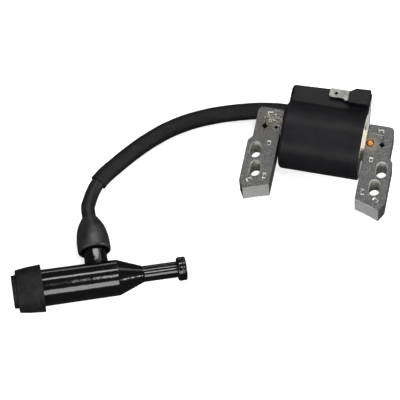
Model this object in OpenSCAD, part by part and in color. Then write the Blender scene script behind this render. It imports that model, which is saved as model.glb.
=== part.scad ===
// Small-engine ignition coil: laminated core, potted housing, high-tension lead and plug cap.
// Frame: +Z up, +X across the two legs, -Y towards the flywheel. The origin is the centre of
// the four mounting slots, on the underside of the core.

/* [Core] */
// Thickness of the lamination stack
stack_t = 13; // [8:0.5:20]
// Distance from the mid-plane to a leg's inner side
leg_inner_x = 21.4; // [21:0.1:26]
// Width of a leg behind its flare
leg_w = 13.1; // [11:0.1:18]
// How far the leg flares out round its slots
leg_flare = 2; // [0:0.1:4]
// Rear end of the legs
leg_rear_y = 28.8; // [26:0.1:34]
// Radius of the legs' rear outer corners
leg_corner_r = 2.5; // [0.5:0.1:4]
// Width of the crossbar that carries the windings
bar_w = 8; // [6:0.1:10]
// Centre line of the crossbar
bar_y = 19.5; // [18:0.1:22]
// How deep the crossbar reaches into each leg
bar_seat = 8.2; // [5:0.1:10]
// Gap between the crossbar and the leg round it
bar_gap = 0.05; // [0.02:0.01:0.1]
// Radius of the flywheel that the pole faces follow
flywheel_r = 87; // [70:1:120]
// Front corner of a pole face, measured back from the slot centre
pole_y = 17.1; // [14:0.1:20]

/* [Mounting slots] */
// Width of a slot
slot_w = 5.4; // [4.2:0.1:6]
// Length of a slot from end to end
slot_len = 8.6; // [7:0.1:9]
// Distance from the front slots to the rear slots
slot_pitch = 10; // [9.2:0.1:11]
// Distance from a leg's inner side to its rear slot
rear_slot_inset = 10.3; // [8:0.1:11]
// Distance from a leg's inner side to its front slot
front_slot_inset = 8.5; // [6:0.1:10]

/* [Rivets] */
// Radius of the core rivets' shanks
rivet_r = 1.3; // [0.8:0.1:2]
// Radius of the core rivets' heads
rivet_head_r = 2; // [1.5:0.1:3]
// Distance from a leg's inner side to its rivet
rivet_inset = 2.35; // [2.1:0.05:4]

/* [Housing] */
// Outer radius of the round front of the housing
shell_r = 17; // [16.8:0.1:22]
// Wall of the housing
shell_wall = 1.2; // [0.9:0.1:3]
// Left end of the housing
shell_left_x = 20.2; // [19:0.1:20.5]
// Right end of the housing
shell_right_x = 20; // [19:0.1:20.5]
// Rounding of the closed left end
shell_edge_r = 2; // [0.5:0.1:3]
// Height of the flat shelf above the middle of the stack
shelf_up = 6.5; // [4.5:0.1:8]
// How far the shelf reaches behind the round of the housing
shelf_back = 9.85; // [8:0.05:14]
// How far the foot reaches behind the round of the housing
foot_back = 3.85; // [3:0.05:6]
// Angle that the rear face turns in plan
rear_skew = 2.4; // [0:0.1:4]
// How far the resin stays below the open end
resin_gap = 0.3; // [0.2:0.1:2]

/* [Kill terminal] */
// Width of the tab (a 4.8 mm push-on terminal)
tab_w = 4.8; // [4:0.1:6.4]
// Thickness of the tab
tab_t = 0.5; // [0.4:0.1:0.8]
// How far the tab reaches out of its block
tab_reach = 9.8; // [7:0.1:11]
// Radius of the hole in the tab
tab_hole_r = 0.8; // [0.5:0.1:1.2]
// Height of the terminal block above the shelf
block_h = 4; // [3:0.1:6]
// Length of the terminal block
block_len = 10.8; // [8:0.1:12]

/* [Windings] */
// Wall of the primary bobbin
bobbin_wall = 1; // [0.6:0.1:1.2]
// Build-up of the primary winding
primary_h = 1.8; // [1:0.1:2]
// Clearance between the primary winding and the secondary bobbin
secondary_gap = 0.12; // [0.05:0.01:1]
// Thickness of the resin round the secondary bobbin
potting_gap = 1.3; // [0.3:0.1:2]
// Half length of the secondary bobbin
secondary_half = 12.5; // [10:0.1:12.8]
// Number of winding chambers
chambers = 6; // [3:1:8]

/* [High-tension lead] */
// Outer radius of the lead
lead_r = 3.5; // [2.5:0.1:4.5]
// Radius of the bore in the insulation
lead_bore_r = 1.4; // [1.3:0.1:1.8]
// Radius of the conductor
conductor_r = 1.1; // [0.6:0.1:1.2]
// Thickness of the woven sleeve
sleeve_t = 0.7; // [0.5:0.1:1.2]
// Clearance round the lead inside the sleeve
sleeve_gap = 0.2; // [0.15:0.01:0.4]

/* [Plug cap] */
// Radius of the cap's body at the mouth
cap_r = 9.2; // [8.5:0.1:11]
// Radius of the cap's body at its shoulder
shoulder_r = 8.9; // [8:0.1:10]
// Radius of the grip's neck
neck_r = 4; // [3:0.05:6]
// Radius of the bead at the end of the grip
bead_r = 6; // [5:0.1:8]
// Radius of the socket that takes the spark plug's insulator
socket_r = 6; // [5.2:0.1:6.5]
// Distance from the stem to the cap's mouth
mouth_x = 39.4; // [38:0.1:48]
// Depth of the socket's round wall
socket_depth = 19; // [15:0.1:20]
// Wall of the stem that takes the lead
stem_wall = 2; // [1.6:0.1:2.6]
// Length of the stem from the cap's axis
stem_len = 26; // [22:0.1:28]
// Clearance round the lead inside the stem and the boot
stem_gap = 0.1; // [0.05:0.01:0.2]
// Outer radius of the plug seal at its wide end
seal_r = 11.9; // [11:0.1:14]
// Length of the plug seal
seal_len = 12.8; // [10:0.1:16]
// Clearance of the running fits inside the cap
cap_fit = 0.05; // [0.02:0.01:0.1]

/* [Stem boot] */
// Wall of the boot at its rim
boot_wall = 2.35; // [1.5:0.05:3]
// Clearance between the boot and the stem
boot_gap = 0.35; // [0.2:0.01:0.6]
// Length of the boot
boot_len = 19; // [16:0.1:20]
// Distance from the cap's axis to the boot's rim
boot_rim_y = 15.8; // [15:0.1:20]

/* [Hidden] */
$fn = 48;

cut = 1;             // how far a cutting shape runs past the face it cuts
tiny = 0.02;         // gap between pieces that are moulded or pressed together
shell_y = bar_y - 0.75;
shell_z = stack_t / 2;
floor_z = shell_z - shell_r;
leg_outer_x = leg_inner_x + leg_w;
flare_x = leg_outer_x + leg_flare;
bar_end = leg_inner_x + bar_seat;
rear_slot_x = leg_inner_x + rear_slot_inset;
front_slot_x = leg_inner_x + front_slot_inset;
rivet_x = leg_inner_x + rivet_inset;
neck_y = 12.1;       // where the leg starts to flare
flare_y = 9.5;       // where the flare is full
chamfer_y = -12.6;   // where the pole's outer chamfer starts
chamfer_x = 2.6;     // how far that chamfer goes in
pole_arc_y = -pole_y - sqrt(pow(flywheel_r, 2) - pow(flare_x - chamfer_x, 2));
key_hole = 2.2;      // side of the square hole at the crossbar's end
stamp = [1.7, 2.8];  // a stamped interlock dimple
stamp_depth = 0.3;
// places of the dimples, from the leg's inner side, and their angles
stamps = [[6.6, 25.8, 90], [4.3, 9.6, 0], [3.2, -8.3, 0], [10.2, -11.6, 55]];

// Rear box of the housing
shelf_z = shell_z + shelf_up;
shelf_rear_y = shell_y + shell_r + shelf_back;
foot_rear_y = shell_y + shell_r + foot_back;
rear_slope = (shelf_rear_y - foot_rear_y) / (shelf_z - floor_z);
cavity_x0 = -shell_left_x + shell_wall;
resin_x1 = shell_right_x - resin_gap;
block_x0 = shell_right_x - 0.4 - block_len;
block_front_y = shelf_rear_y - 8.8;
tab_z = shelf_z + 1.8;
tab_y = shelf_rear_y - 4;
tab_x0 = block_x0 - tab_reach;
tab_corner = 1.2;

// Windings
bobbin_w = bar_w + 2 * bar_gap + 2 * bobbin_wall;
bobbin_h = stack_t + 2 * bar_gap + 2 * bobbin_wall;
bobbin_x = leg_inner_x - 0.1;
primary_half = secondary_half;
primary_w = bobbin_w + 2 * primary_h + 0.2;
primary_flange_h = bobbin_h + 2 * primary_h + 0.2;
primary_round = 3;   // corner radius of the primary's flanges
secondary_wall = 0.8;
secondary_r = norm([primary_w / 2 - primary_round + bar_y - shell_y, primary_flange_h / 2 - primary_round])
    + primary_round + secondary_gap;
secondary_flange_r = shell_r - shell_wall - potting_gap;
flange_t = 0.8;
chamber_pitch = (2 * secondary_half - flange_t) / chambers;

// Circuit board, behind the windings
board_y = shell_y + secondary_flange_r + 1.3;
board_t = 1.2;
board_x = [-12, 17];
board_z = [floor_z + 3.1, shelf_z - 3.8];
chip = [9, 2.6, 7.5];
tail_y = board_y + board_t + 1.6;

// Route of the high-tension lead's centre line, from its end in the housing to its end in the cap
lead_route = [[-13.6, 34.7, -1.8], [-20.2, 34.7, -1.8], [-26, 34.6, -2.1], [-32, 34.2, -2.8],
    [-38, 33.5, -3.7], [-44, 32.4, -4.6], [-50, 31, -5.3], [-56, 29.2, -5.8], [-62, 26.8, -5.9],
    [-68, 23.9, -5.9], [-74, 20.4, -5.9], [-80, 16.1, -5.9], [-85, 11.7, -5.9], [-90, 6.7, -5.9],
    [-94.3, 1.7, -5.9], [-98.3, -3.3, -5.9], [-101.8, -8.1, -5.9], [-104.4, -11.6, -5.9],
    [-106.8, -15.3, -5.85], [-108.5, -19, -5.6], [-109.6, -23, -5.2], [-110.15, -27.1, -4.65],
    [-110.3, -31.2, -4.05], [-109.94, -35.16, -3.38], [-105.05, -47.7, -2.55], [-99.42, -62.13, -1.6]];
sleeve_last = 19;    // the route point where the sleeve is cut
sleeve_r = lead_r + sleeve_gap + sleeve_t;
stem_r = lead_r + stem_gap + stem_wall;
boot_rim_r = stem_r + boot_gap + boot_wall;
lead_sides = 12;
lead_out = len(lead_route) - 1;
terminal_len = 6;    // how far the output terminal's spike goes into the lead
screw_y = 17.5;      // tip of the wood screw, from the cap's axis
lead_end_y = 11;     // end of the lead, from the cap's axis

// Cap's own axes: y along its stem, x along its body towards the grip, z up
cap_dip = 4.8;
cap_y = unit(lead_route[lead_out - 1] - lead_route[lead_out]);
cap_pos = lead_route[lead_out] - lead_end_y * cap_y;
cap_level = unit(cross(cap_y, [0, 0, 1]));
cap_up = cross(cap_level, cap_y);
cap_x = cos(cap_dip) * cap_level - sin(cap_dip) * cap_up;
cap_z = cross(cap_x, cap_y);

// Places along the cap's x axis
shoulder_x = 9.5;
neck_x = 22.1;
bead_x = 39;
bead_len = 4.5;
socket_end = -mouth_x + socket_depth;
clip_r = 4.4;        // chamber for the contact clip
clip_end = -13.5;
core_r = 2.6;        // chamber for the resistor, spring and screw block
core_end = 3;
block_half = 2.5;    // half length of the brass block at the foot of the screw
resistor_x = [clip_end + 1, -5.5];
seal_x = -mouth_x - 1.2;
seal_lip = 2.3;
seal_lip_r = 8.3;
seal_small_r = seal_r - 1.1;

function unit(v) = v / norm(v);

// Direction of the route at point i
function heading(p, i) = unit(p[min(i + 1, len(p) - 1)] - p[max(i - 1, 0)]);

// One ring of n points round p[i]
function ring(p, i, r, n) = let (t = heading(p, i), s = unit(cross([0, 0, 1], t)), u = cross(t, s))
    [for (k = [0:n - 1]) p[i] + r * (cos(360 * k / n) * s + sin(360 * k / n) * u)];

// Side faces between ring a and ring b of n points
function band(a, b, n) = [for (k = [0:n - 1]) let (j = (k + 1) % n)
    each [[a * n + k, b * n + k, b * n + j], [a * n + k, b * n + j, a * n + j]]];

// Points of a route with its two ends cut at the given points
function stretch(p, first, last) = [for (i = [first:last]) p[i]];

// Solid rod along a route
module rod(p, r, n = 12) {
    m = len(p);
    points = [for (i = [0:m - 1]) each ring(p, i, r, n)];
    sides = [for (i = [0:m - 2]) each band(i, i + 1, n)];
    near = [[for (k = [0:n - 1]) k]];
    far = [[for (k = [n - 1:-1:0]) (m - 1) * n + k]];
    polyhedron(points, concat(sides, near, far), convexity = 6);
}

// Tube along a route, from radius r0 to radius r1
module tube(p, r0, r1, n = 12) {
    m = len(p);
    outer = [for (i = [0:m - 1]) each ring(p, i, r1, n)];
    inner = [for (i = [0:m - 1]) each ring(p, i, r0, n)];
    outer_sides = [for (i = [0:m - 2]) each band(i, i + 1, n)];
    inner_sides = [for (i = [0:m - 2]) each [for (f = band(i, i + 1, n)) [f[2], f[1], f[0]] + [1, 1, 1] * m * n]];
    near = [for (f = band(m, 0, n)) f];
    far = [for (f = band(m - 1, 2 * m - 1, n)) f];
    polyhedron(concat(outer, inner), concat(outer_sides, inner_sides, near, far), convexity = 8);
}

// Rectangle with true round corners, centred
module round_rect(w, h, r) {
    square([w - 2 * r, h], center = true);
    square([w, h - 2 * r], center = true);
    for (x = [-1, 1], y = [-1, 1])
        translate([x * (w / 2 - r), y * (h / 2 - r)]) circle(r);
}

// Slot that runs along Y, centred
module slot(w, l) {
    square([w, l - w], center = true);
    for (y = [-1, 1]) translate([0, y * (l - w) / 2]) circle(w / 2);
}

// Cuts a corner at the origin, whose material lies towards sx, sy, to a round of radius r
module corner_cut(r, sx, sy) {
    scale([sx, sy]) difference() {
        translate([-cut, -cut]) square(r + cut);
        translate([r, r]) circle(r);
    }
}

// Turns a profile drawn in YZ into a solid from x0 to x1
module along_x(x0, x1) {
    translate([x0, 0, 0]) rotate([90, 0, 90]) linear_extrude(x1 - x0) children();
}

// Cylinder along X
module rod_x(x0, x1, r) {
    translate([x0, 0, 0]) rotate([0, 90, 0]) cylinder(h = x1 - x0, r = r);
}

// Places a piece of the cap, drawn in the cap's own axes
module on_cap() {
    multmatrix([[cap_x[0], cap_y[0], cap_z[0], cap_pos[0]], [cap_x[1], cap_y[1], cap_z[1], cap_pos[1]],
        [cap_x[2], cap_y[2], cap_z[2], cap_pos[2]], [0, 0, 0, 1]]) children();
}

// Revolves a profile of [place along the axis, radius] points about the cap's x axis
module turned_x(profile) {
    rotate([0, 90, 0]) rotate_extrude() polygon([for (q = profile) [q[1], q[0]]]);
}

// Revolves such a profile about the cap's y axis
module turned_y(profile) {
    rotate([-90, 0, 0]) rotate_extrude() polygon([for (q = profile) [q[1], q[0]]]);
}

module leg_outline() {
    pole_in_y = pole_arc_y + sqrt(pow(flywheel_r, 2) - pow(leg_inner_x, 2));
    difference() {
        polygon([[leg_inner_x, leg_rear_y], [leg_outer_x, leg_rear_y], [leg_outer_x, neck_y],
            [flare_x, flare_y], [flare_x, chamfer_y], [flare_x - chamfer_x, -pole_y],
            [flare_x - chamfer_x - 1, -pole_y - cut], [leg_inner_x, pole_in_y - 2 * cut - 3]]);
        translate([0, pole_arc_y]) circle(flywheel_r, $fn = 180);
        translate([leg_outer_x, leg_rear_y]) corner_cut(leg_corner_r, -1, -1);
        translate([leg_inner_x, leg_rear_y]) corner_cut(leg_corner_r / 2, 1, -1);
        translate([rear_slot_x, slot_pitch / 2]) slot(slot_w, slot_len);
        translate([front_slot_x, -slot_pitch / 2]) slot(slot_w, slot_len);
        translate([leg_inner_x - cut, bar_y - bar_w / 2 - bar_gap])
            square([bar_seat + cut + bar_gap, bar_w + 2 * bar_gap]);
        translate([bar_end, bar_y - 1]) rotate(45) square(key_hole, center = true);
    }
}

module pole_leg() {
    difference() {
        linear_extrude(stack_t) leg_outline();
        for (s = stamps)
            translate([leg_inner_x + s[0], s[1], stack_t]) rotate(s[2])
                cube([stamp[0], stamp[1], 2 * stamp_depth], center = true);
    }
}

module left_pole_leg() { color("slategray") mirror([1, 0, 0]) pole_leg(); }
module right_pole_leg() { color("slategray") pole_leg(); }

module core_crossbar() {
    color("gray") difference() {
        translate([-bar_end, bar_y - bar_w / 2, 0]) cube([2 * bar_end, bar_w, stack_t]);
        for (x = [-1, 1]) {
            translate([x * rivet_x, bar_y - 0.9, -cut]) cylinder(h = stack_t + 2 * cut, r = rivet_r + tiny);
            translate([x * rivet_x, bar_y - 0.9, stack_t - 0.7])
                cylinder(h = 0.7 + cut, r = rivet_head_r + tiny);
            translate([x * bar_end, bar_y - 1, -cut]) rotate(45)
                translate([-key_hole / 2, -key_hole / 2, 0]) cube([key_hole, key_hole, stack_t + 2 * cut]);
        }
    }
}

// Rivet through the crossbar: a shank, a sunk flange and a domed end
module rivet(x, dome_r, hole_r) {
    translate([x, bar_y - 0.9, 0]) rotate_extrude() difference() {
        union() {
            square([rivet_r, stack_t - 0.4]);
            translate([0, stack_t - 0.7]) square([rivet_head_r, 0.3]);
            intersection() {
                translate([0, stack_t - 0.8]) circle(dome_r);
                translate([0, stack_t - 0.8]) square(dome_r);
            }
        }
        if (hole_r > 0) translate([-cut, 2]) square([hole_r + cut, stack_t + cut]);
    }
}

module core_rivet() { color("silver") rivet(-rivet_x, 1.3, 0.75); }
module ground_rivet() { color("peru") rivet(rivet_x, 1.25, 0); }

// Section of the housing in YZ, moved in by a wall w
module shell_section(w) {
    wr = w * sqrt(1 + pow(rear_slope, 2));
    translate([shell_y, shell_z]) circle(shell_r - w, $fn = 96);
    polygon([[shell_y, floor_z + w], [foot_rear_y + w * rear_slope - wr, floor_z + w],
        [shelf_rear_y - w * rear_slope - wr, shelf_z - w], [shell_y, shelf_z - w]]);
}

// Everything behind the skewed rear face, moved in by a wall w
module behind_rear(w) {
    translate([shell_right_x, shelf_rear_y - w, floor_z - cut]) rotate(rear_skew)
        translate([-60, 0, 0]) cube([80, 20, 40]);
}

module terminal_block() {
    chamfer = [3.4, 2.5];
    translate([0, 0, shelf_z - cut]) linear_extrude(block_h + cut)
        polygon([[block_x0, block_front_y], [block_x0 + block_len, block_front_y],
            [block_x0 + block_len, shelf_rear_y], [block_x0 + chamfer[0], shelf_rear_y],
            [block_x0, shelf_rear_y - chamfer[1]]]);
}

// The tab, its bend and its tail; grown by g for the pocket that holds it
module tab_shape(g) {
    root_x = block_x0 + 5;
    translate([block_x0 - g, tab_y - tab_w / 2 - g, tab_z - g])
        cube([root_x - block_x0 + 2 * g, tab_w + 2 * g, tab_t + 2 * g]);
    translate([root_x - 1.5 - g, tail_y - g, board_z[1] - 2 - g])
        cube([1.5 + 2 * g, tab_t + 2 * g, tab_z - board_z[1] + 2 + tab_t + 2 * g]);
    translate([root_x - 1.5 - g, tail_y - g, tab_z - g])
        cube([1.5 + 2 * g, tab_y - tail_y + 2 * g, tab_t + 2 * g]);
    translate([root_x - 1.5 - g, board_y + board_t + (g > 0 ? 0 : tiny), board_z[1] - 2 - g])
        cube([1.5 + 2 * g, tail_y - board_y - board_t, tab_t + 2 * g]);
}

// Hole for the sleeved lead in the left end
module lead_hole(r) {
    translate([0, lead_route[0][1], lead_route[0][2]]) rod_x(-shell_left_x - cut, cavity_x0 + cut, r);
}

module coil_housing() {
    color("#262628") difference() {
        union() {
            difference() {
                along_x(-shell_left_x, shell_right_x) shell_section(0);
                behind_rear(0);
            }
            difference() {
                terminal_block();
                behind_rear(0);
            }
        }
        difference() {
            along_x(cavity_x0, shell_right_x + cut) shell_section(shell_wall);
            behind_rear(shell_wall);
        }
        // rounds the front edge of the closed end
        translate([-shell_left_x, shell_y, shell_z]) rotate([0, 90, 0]) rotate_extrude($fn = 96)
            translate([shell_r, 0]) difference() {
                translate([-shell_edge_r, -cut]) square([shell_edge_r + cut, shell_edge_r + cut]);
                translate([-shell_edge_r, shell_edge_r]) circle(shell_edge_r);
            }
        translate([-shell_left_x - cut, bar_y - bobbin_w / 2 - tiny, stack_t / 2 - bobbin_h / 2 - tiny])
            cube([shell_wall + 2 * cut, bobbin_w + 2 * tiny, bobbin_h + 2 * tiny]);
        lead_hole(sleeve_r + tiny);
        tab_shape(tiny);
        // shallow moulded notch under the terminal block
        difference() {
            translate([block_x0 + 0.6, block_front_y - 4.25, shelf_z + 0.4]) cube([block_len - 1.6, 2, 3]);
            translate([0, shell_y, shell_z]) rod_x(-shell_left_x, shell_right_x, shell_r - 0.4 * shell_wall);
        }
    }
}

module potting_resin() {
    color("#e9e4d2") difference() {
        along_x(cavity_x0, resin_x1) shell_section(shell_wall + tiny);
        behind_rear(shell_wall + tiny);
        translate([-30, bar_y - bobbin_w / 2 - tiny, stack_t / 2 - bobbin_h / 2 - tiny])
            cube([60, bobbin_w + 2 * tiny, bobbin_h + 2 * tiny]);
        translate([0, shell_y, shell_z])
            rod_x(-secondary_half - 1, secondary_half + 1, secondary_flange_r + tiny);
        translate([board_x[0] - tiny, board_y - tiny, board_z[0] - tiny])
            cube([board_x[1] - board_x[0] + 2 * tiny, board_t + chip[1] + 2 * tiny,
                board_z[1] - board_z[0] + 2 * tiny]);
        translate([0, lead_route[0][1], lead_route[0][2]])
            rod_x(cavity_x0 - cut, -secondary_half - 0.2, lead_r + tiny);
        tab_shape(tiny);
    }
}

module primary_bobbin() {
    color("#efe9d8") difference() {
        union() {
            along_x(-shell_left_x, bobbin_x) translate([bar_y, stack_t / 2])
                square([bobbin_w, bobbin_h], center = true);
            for (x = [-primary_half, primary_half - flange_t])
                along_x(x, x + flange_t) translate([bar_y, stack_t / 2])
                    round_rect(primary_w, primary_flange_h, primary_round);
        }
        along_x(-bobbin_x - cut, bobbin_x + cut) translate([bar_y, stack_t / 2])
            square([bar_w + 2 * bar_gap, stack_t + 2 * bar_gap], center = true);
    }
}

module primary_winding() {
    half = primary_half - flange_t - tiny;
    color("#b5652b") along_x(-half, half) translate([bar_y, stack_t / 2]) difference() {
        round_rect(primary_w - 0.2, primary_flange_h - 0.2, primary_round - 0.2);
        square([bobbin_w + 2 * tiny, bobbin_h + 2 * tiny], center = true);
    }
}

module secondary_bobbin() {
    color("#f2efe6") translate([0, shell_y, shell_z]) difference() {
        union() {
            rod_x(-secondary_half, secondary_half, secondary_r + secondary_wall);
            for (i = [0:chambers])
                rod_x(-secondary_half + i * chamber_pitch, -secondary_half + i * chamber_pitch + flange_t,
                    secondary_flange_r);
        }
        rod_x(-secondary_half - cut, secondary_half + cut, secondary_r);
    }
}

module secondary_winding() {
    color("#c47a35") translate([0, shell_y, shell_z]) for (i = [0:chambers - 1]) {
        x0 = -secondary_half + i * chamber_pitch + flange_t + tiny;
        difference() {
            rod_x(x0, x0 + chamber_pitch - flange_t - 2 * tiny, secondary_flange_r - 0.6);
            rod_x(x0 - cut, x0 + chamber_pitch + cut, secondary_r + secondary_wall + tiny);
        }
    }
}

module circuit_board() {
    color("#2f6b3c") translate([board_x[0], board_y, board_z[0]])
        cube([board_x[1] - board_x[0], board_t, board_z[1] - board_z[0]]);
}

module switch_transistor() {
    legs = 3;
    color("#1d1d1f") translate([board_x[0] + 12, board_y + board_t, board_z[0] + 6]) {
        cube(chip);
        for (i = [0:legs - 1]) translate([1.6 + i * 2.6, 0, -3]) cube([0.7, 0.6, 3.2]);
    }
}

module board_resistors() {
    color("#c9b58a") for (i = [0:2])
        translate([board_x[0] + 2 + 3 * i, board_y + board_t, board_z[0] + 5.5]) cube([1.6, 0.8, 3.2]);
}

module kill_terminal() {
    color("lightgray") {
        difference() {
            translate([tab_x0, tab_y - tab_w / 2, tab_z]) cube([block_x0 - tab_x0, tab_w, tab_t]);
            translate([tab_x0 + 3.5, tab_y, tab_z - cut]) cylinder(h = tab_t + 2 * cut, r = tab_hole_r);
            for (s = [-1, 1])
                translate([tab_x0, tab_y + s * tab_w / 2, tab_z - cut])
                    linear_extrude(tab_t + 2 * cut) corner_cut(tab_corner, 1, -s);
        }
        translate([block_x0 - 2.2, tab_y - tab_w / 2 - 0.9, tab_z]) cube([2.2, 1, tab_t]);
        tab_shape(0);
    }
}

module output_terminal() {
    x1 = -secondary_half - 0.2;
    color("goldenrod") translate([0, lead_route[0][1], lead_route[0][2]]) {
        rod_x(lead_route[0][0] - terminal_len, x1, 0.9);
        rod_x(lead_route[0][0] + 0.1, x1, 2.2);
    }
}

module ht_lead_insulation() {
    color("#1c1c1e") tube(lead_route, lead_bore_r, lead_r, lead_sides);
}

module ht_lead_conductor() {
    straight = unit(lead_route[lead_out - 2] - lead_route[lead_out]);
    first = lead_route[0] - [terminal_len + 0.3, 0, 0];
    last = cap_pos + (screw_y + 0.4) * straight;
    color("#c8c9cc") rod(concat([first], stretch(lead_route, 2, lead_out - 1), [last]), conductor_r, lead_sides);
}

module braided_sleeve() {
    start = lead_route[1] + [shell_wall - 0.2, 0, 0];
    color("#141414") tube(concat([start], stretch(lead_route, 1, sleeve_last)),
        lead_r + sleeve_gap, sleeve_r, lead_sides);
}

module stem_boot() {
    y0 = boot_rim_y;
    y1 = boot_rim_y + boot_len;
    grip = lead_r + stem_gap;
    inner = stem_r + boot_gap;
    color("#202022") on_cap() turned_y([[y0, boot_rim_r - 0.9], [y0 + 0.4, boot_rim_r - 0.1],
        [y0 + 1.6, boot_rim_r], [y0 + 0.37 * boot_len, boot_rim_r - 0.15],
        [y0 + 0.58 * boot_len, boot_rim_r - 0.8], [y0 + 0.74 * boot_len, boot_rim_r - 1.7],
        [y0 + 0.87 * boot_len, grip + 1.7], [y0 + 0.95 * boot_len, grip + 0.95], [y1, grip + 0.5], [y1, grip],
        [y1 - 5, grip], [y1 - 7.5, inner], [y0 + 4, inner + 0.3]]);
}

module plug_cap_body() {
    r1 = shoulder_r;
    color("#121214") on_cap() difference() {
        union() {
            turned_x([[-mouth_x, 0], [-mouth_x, cap_r], [shoulder_x - 0.8, r1], [shoulder_x, r1 - 0.25],
                [shoulder_x + 1, r1 - 0.9], [neck_x - 3, neck_r + 1], [neck_x, neck_r],
                [bead_x, neck_r - 0.05], [bead_x, 0]]);
            turned_x([[bead_x - 0.6, 0], [bead_x - 0.2, bead_r - 1.6], [bead_x + 0.6, bead_r - 0.5],
                [bead_x + 1.6, bead_r], [bead_x + 2.5, bead_r - 0.5], [bead_x + 3.1, bead_r - 0.3],
                [bead_x + 3.7, bead_r - 0.2], [bead_x + bead_len - 0.3, bead_r - 0.5],
                [bead_x + bead_len, bead_r - 1.4], [bead_x + bead_len, 0]]);
            turned_y([[0, 0], [0, stem_r + 0.4], [cap_r + 1, stem_r], [stem_len, stem_r], [stem_len, 0]]);
        }
        rod_x(-mouth_x - cut, socket_end, socket_r);
        rod_x(socket_end - cut, clip_end, clip_r);
        rod_x(clip_end - cut, core_end, core_r);
        rotate([-90, 0, 0]) cylinder(h = lead_end_y, r = lead_bore_r + 0.2);
        translate([0, lead_end_y - 0.5, 0]) rotate([-90, 0, 0]) cylinder(h = stem_len, r = lead_r + stem_gap);
    }
}

module plug_seal() {
    x0 = seal_x;
    wide_x = x0 + seal_len;
    color("#242426") on_cap() turned_x([[x0 - seal_lip, socket_r + 0.3], [x0 - seal_lip, seal_lip_r - 0.6],
        [x0 - seal_lip + 0.6, seal_lip_r], [x0, seal_lip_r], [x0, seal_small_r - 0.5],
        [x0 + 0.5, seal_small_r], [wide_x - 0.5, seal_r], [wide_x, seal_r - 0.4], [wide_x, cap_r + cap_fit],
        [-mouth_x - tiny, cap_r + cap_fit], [-mouth_x - tiny, socket_r + 0.3]]);
}

module lead_screw() {
    shank = lead_bore_r - 0.45;
    pitch = 1.5;
    threads = 5;
    color("goldenrod") on_cap() {
        rod_x(-block_half, block_half, core_r - cap_fit);
        rotate([-90, 0, 0]) cylinder(h = screw_y - 2, r = shank);
        translate([0, screw_y - 2 - tiny, 0]) rotate([-90, 0, 0]) cylinder(h = 2, r1 = shank, r2 = 0.15, $fn = 24);
        turned_y([for (i = [0:threads - 1], q = [[-0.5, shank - 0.2], [0, lead_bore_r - 0.15], [0.5, shank - 0.2]])
            [lead_end_y + 0.3 - 1.4 + i * pitch + q[0] + 0.5, q[1]]]);
    }
}

module suppressor_resistor() {
    color("tan") on_cap() {
        rod_x(resistor_x[0] + 0.8, resistor_x[1] - 0.8, core_r - 0.45);
        rod_x(resistor_x[0], resistor_x[0] + 0.8 + tiny, core_r - 0.25);
        rod_x(resistor_x[1] - 0.8 - tiny, resistor_x[1], core_r - 0.25);
    }
}

module resistor_spring() {
    wire = 0.25;
    coil_r = core_r - 0.55;
    turns = 4;
    steps = 14;
    x0 = resistor_x[1] + wire + cap_fit;
    x1 = -block_half - wire - cap_fit;
    n = turns * steps;
    path = [for (i = [0:n]) [coil_r * cos(360 * i / steps), coil_r * sin(360 * i / steps), x0 + (x1 - x0) * i / n]];
    color("silver") on_cap() rotate([0, 90, 0]) rod(path, wire, 6);
}

module contact_retainer() {
    color("goldenrod") on_cap() difference() {
        rod_x(clip_end - 2, clip_end - tiny, clip_r - cap_fit);
        rod_x(clip_end - 2 - cut, clip_end + cut, 1.5);
        translate([clip_end - 2.8, -clip_r, -0.5]) cube([1.4, 2 * clip_r, 1]);
    }
}

module plug_contact() {
    base_x = clip_end - 2 - tiny;
    clip_in = 3.15;
    clip_out = 3.55;
    reach = 4.6;
    color("gold") on_cap() {
        rod_x(base_x - 0.4, resistor_x[0] - tiny, 1.4);
        difference() {
            rod_x(base_x - reach, base_x, clip_out);
            rod_x(base_x - reach - cut, base_x - 0.4, clip_in);
            for (a = [0, 60, 120])
                rotate([a, 0, 0]) translate([base_x - reach - cut, -5, -0.5]) cube([reach - 0.4 + cut - 0.8, 10, 1]);
        }
    }
}

left_pole_leg();
right_pole_leg();
core_crossbar();
core_rivet();
ground_rivet();
coil_housing();
potting_resin();
primary_bobbin();
primary_winding();
secondary_bobbin();
secondary_winding();
circuit_board();
switch_transistor();
board_resistors();
kill_terminal();
output_terminal();
ht_lead_insulation();
ht_lead_conductor();
braided_sleeve();
stem_boot();
plug_cap_body();
plug_seal();
lead_screw();
suppressor_resistor();
resistor_spring();
contact_retainer();
plug_contact();
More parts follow.
